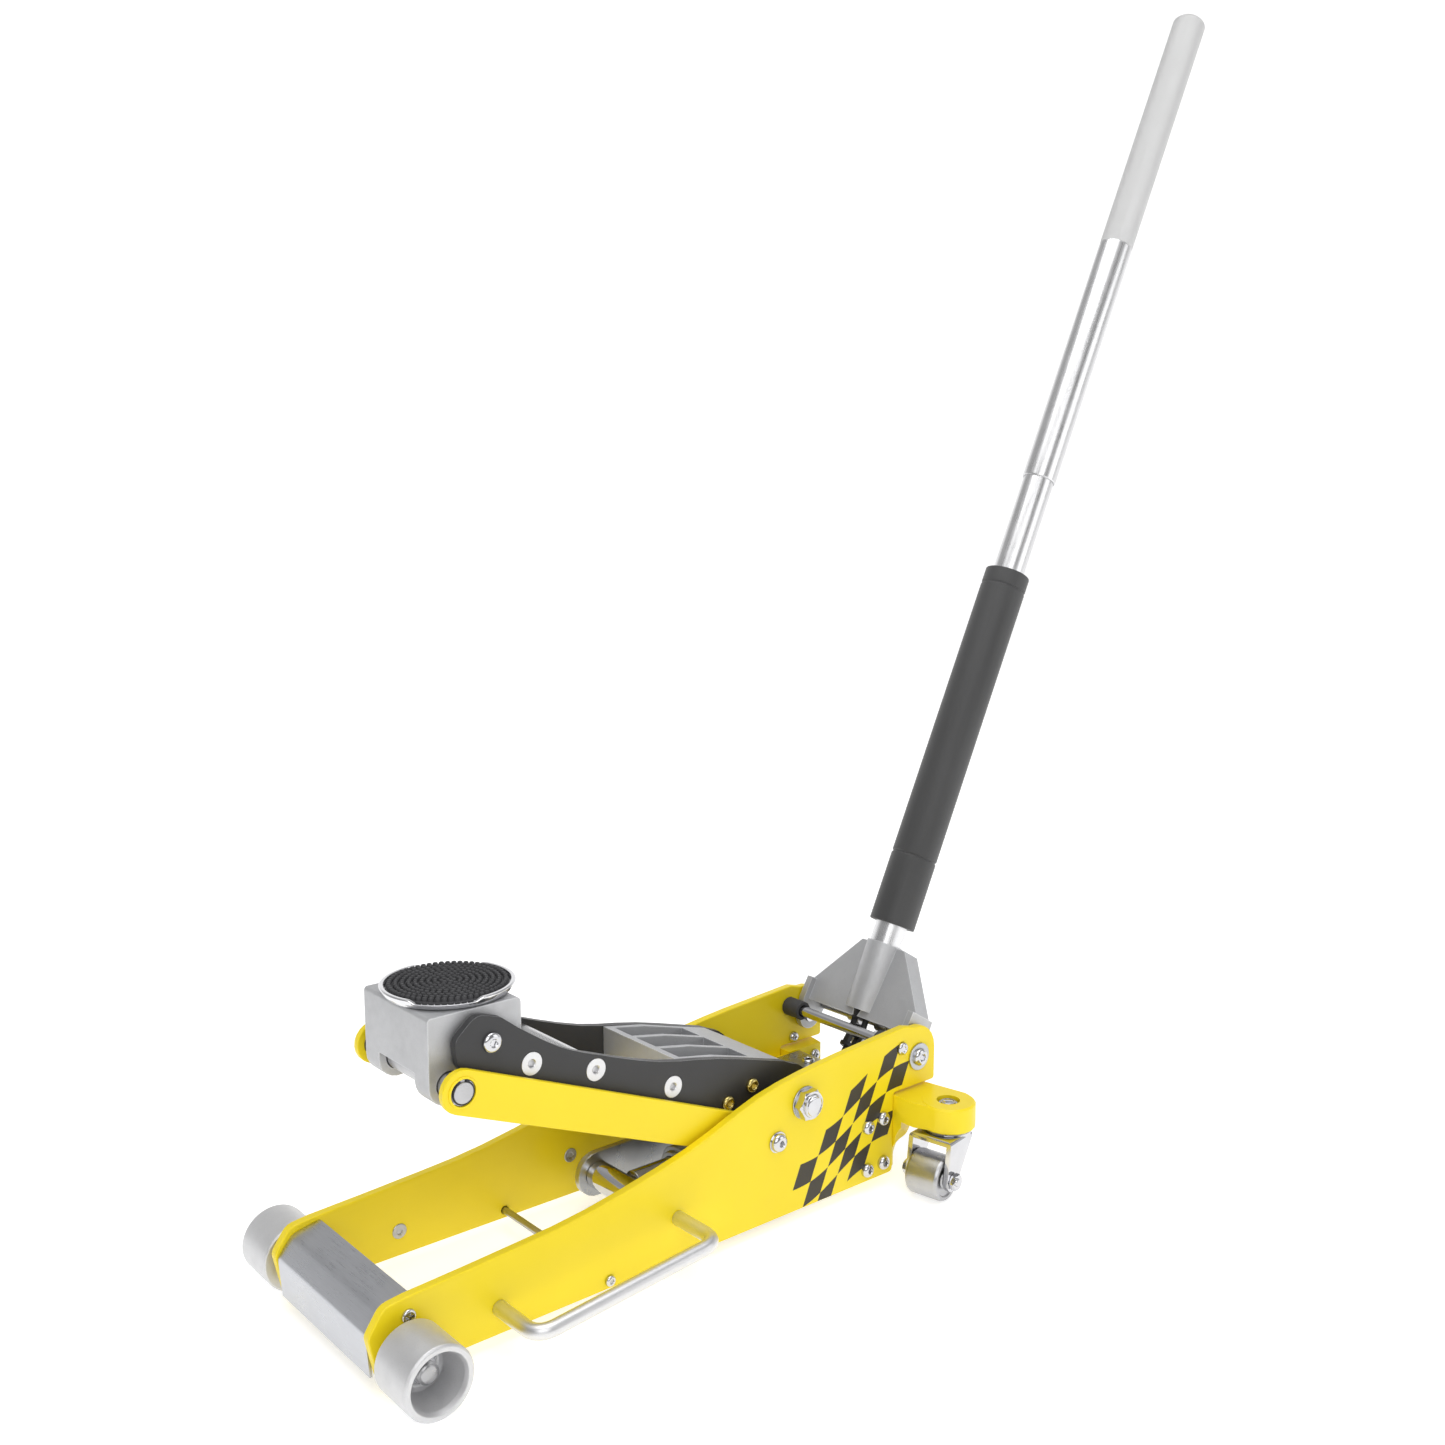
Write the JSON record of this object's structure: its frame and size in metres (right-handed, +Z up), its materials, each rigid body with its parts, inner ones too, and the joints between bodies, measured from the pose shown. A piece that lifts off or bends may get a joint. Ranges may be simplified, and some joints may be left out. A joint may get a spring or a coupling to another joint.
{
  "type": "hydraulic floor jack",
  "caption": "Low-profile aluminium trolley jack: plate frame on wheels and casters, parallelogram lift arm, round padded saddle and a long tubular pump handle.",
  "frame": {"origin": "on the floor, midway along the jack's whole length with its handle as modelled, in the middle plane", "axes": "+Z up, -X towards the saddle and front wheels, +X towards the handle, -Y is the operator's left"},
  "size_m": [1.0434, 0.3008, 1.1109],
  "materials": {
    "yellow_coat": "satin powder coat",
    "black_coat": "satin black coat, bare bright edges",
    "cast_aluminium": "fine sand-cast, satin",
    "bare_aluminium": "brushed",
    "zinc_plate": "zinc plated, semi-bright",
    "chrome": "polished",
    "steel": "bright machined steel",
    "black_steel": "blackened steel",
    "rubber": "matt moulded rubber",
    "foam": "fine-grained foam"
  },
  "bodies": {
    "frame": {"side_plate_left": "yellow_coat", "side_plate_right": "yellow_coat", "caster_bracket_left": "yellow_coat", "caster_bracket_right": "yellow_coat", "carry_handle_left": "bare_aluminium", "carry_handle_right": "bare_aluminium", "stop_bumper_left": "rubber", "stop_bumper_right": "rubber", "link_pivot_bolt_left": "chrome", "link_pivot_bolt_right": "chrome", "socket_pivot_bolt_left": "chrome", "socket_pivot_bolt_right": "chrome", "axle_nut_left": "chrome", "axle_nut_right": "chrome", "front_cross_plate": "zinc_plate", "front_axle": "steel", "front_tie_rod": "steel", "handle_stop_rod": "chrome", "lift_pivot_shaft": "steel", "lift_pivot_nut": "chrome", "power_unit": "zinc_plate", "reservoir_tube": "zinc_plate", "return_spring_left": "steel", "return_spring_right": "steel", "caster_swivel_bolt_left": "chrome", "caster_swivel_bolt_right": "chrome"},
    "lift_arm": {"arm_plate_left": "black_coat", "arm_plate_right": "black_coat", "arm_casting": "cast_aluminium", "arm_lever": "steel", "arm_spacer_front": "bare_aluminium", "arm_spacer_middle": "bare_aluminium", "saddle_cross_bolt": "chrome"},
    "saddle_head": {"saddle_bracket": "cast_aluminium", "saddle_lower_pin": "steel"},
    "saddle_disc": {"saddle": "chrome", "saddle_pad": "rubber"},
    "stabiliser": {"stabiliser_link_left": "yellow_coat", "stabiliser_link_right": "yellow_coat"},
    "ram_group": {"ram": "chrome", "crosshead": "chrome", "pull_link_left": "zinc_plate", "pull_link_right": "zinc_plate"},
    "socket": {"handle_socket": "cast_aluminium", "pump_roller": "steel"},
    "handle": {"universal_yoke": "black_steel", "handle_lower_tube": "bare_aluminium", "handle_upper_tube": "bare_aluminium", "foam_sleeve": "foam"},
    "valve": {"release_valve": "black_steel"},
    "pump_left": {"pump_plunger_left": "chrome"},
    "front_wheel_left": {"front_wheel_left": "cast_aluminium"},
    "caster_left": {"caster_fork_left": "chrome", "caster_axle_left": "chrome"},
    "caster_wheel_left": {"caster_wheel_left": "steel"},
    "pump_right": {"pump_plunger_right": "chrome"},
    "front_wheel_right": {"front_wheel_right": "cast_aluminium"},
    "caster_right": {"caster_fork_right": "chrome", "caster_axle_right": "chrome"},
    "caster_wheel_right": {"caster_wheel_right": "steel"}
  },
  "joints": [
    {"name": "lift", "type": "hinge", "parent": "frame", "child": "lift_arm", "pos_m": [-0.11283, 0, 0.104], "axis": [0, 1, 0], "range_deg": [-30, 23]},
    {"name": "saddle_level", "type": "hinge", "parent": "lift_arm", "child": "saddle_head", "pos_m": [-0.40397, 0, 0.22163], "axis": [0, 1, 0], "range_deg": [-23, 30]},
    {"name": "saddle_spin", "type": "hinge", "parent": "saddle_head", "child": "saddle_disc", "pos_m": [-0.40633, 0, 0.247], "axis": [0, 0, 1], "continuous": true},
    {"name": "link_swing", "type": "hinge", "parent": "frame", "child": "stabiliser", "pos_m": [-0.14363, 0, 0.0772], "axis": [0, 1, 0], "range_deg": [-30, 23]},
    {"name": "ram_slide", "type": "slide", "parent": "frame", "child": "ram_group", "axis": [-1, 0, 0], "range_m": [-0.0318, 0.0246], "deforming": ["return_spring_left", "return_spring_right"]},
    {"name": "handle_pump", "type": "hinge", "parent": "frame", "child": "socket", "pos_m": [0.02867, 0, 0.1094], "axis": [0, 1, 0], "range_deg": [-14.25, 54]},
    {"name": "handle_twist", "type": "hinge", "parent": "socket", "child": "handle", "pos_m": [0.02867, 0, 0.1094], "axis": [0.4337, 0, 0.9011], "range_deg": [0, 90]},
    {"name": "valve_turn", "type": "hinge", "parent": "frame", "child": "valve", "pos_m": [0.02867, 0, 0.1094], "axis": [0.6239, 0, 0.7815], "range_deg": [0, 90]},
    {"name": "pump_stroke_left", "type": "slide", "parent": "frame", "child": "pump_left", "axis": [0, 0, -1], "range_m": [-0.0052, 0.0182]},
    {"name": "front_wheel_roll_left", "type": "hinge", "parent": "frame", "child": "front_wheel_left", "pos_m": [-0.49483, -0.11, 0.027], "axis": [0, 1, 0], "continuous": true},
    {"name": "caster_swivel_left", "type": "hinge", "parent": "frame", "child": "caster_left", "pos_m": [0.02617, -0.118, 0.05], "axis": [0, 0, 1], "continuous": true},
    {"name": "caster_roll_left", "type": "hinge", "parent": "caster_left", "child": "caster_wheel_left", "pos_m": [0.00155, -0.12234, 0.02], "axis": [-0.1736, 0.9848, 0], "continuous": true},
    {"name": "pump_stroke_right", "type": "slide", "parent": "frame", "child": "pump_right", "axis": [0, 0, -1], "range_m": [-0.0052, 0.0182]},
    {"name": "front_wheel_roll_right", "type": "hinge", "parent": "frame", "child": "front_wheel_right", "pos_m": [-0.49483, 0.11, 0.027], "axis": [0, 1, 0], "continuous": true},
    {"name": "caster_swivel_right", "type": "hinge", "parent": "frame", "child": "caster_right", "pos_m": [0.02617, 0.118, 0.05], "axis": [0, 0, 1], "continuous": true},
    {"name": "caster_roll_right", "type": "hinge", "parent": "caster_right", "child": "caster_wheel_right", "pos_m": [0.00155, 0.12234, 0.02], "axis": [0.1736, 0.9848, 0], "continuous": true}
  ],
  "couplings": [
    {"joint": "saddle_level", "follows": "lift", "ratio": -1},
    {"joint": "link_swing", "follows": "lift", "ratio": 1},
    {"joint": "ram_slide", "follows": "lift", "m_per_rad": 0.0603},
    {"joint": "valve_turn", "follows": "handle_twist", "ratio": 1},
    {"joint": "pump_stroke_left", "follows": "handle_pump", "m_per_rad": 0.0191},
    {"joint": "pump_stroke_right", "follows": "handle_pump", "m_per_rad": 0.0191}
  ]
}
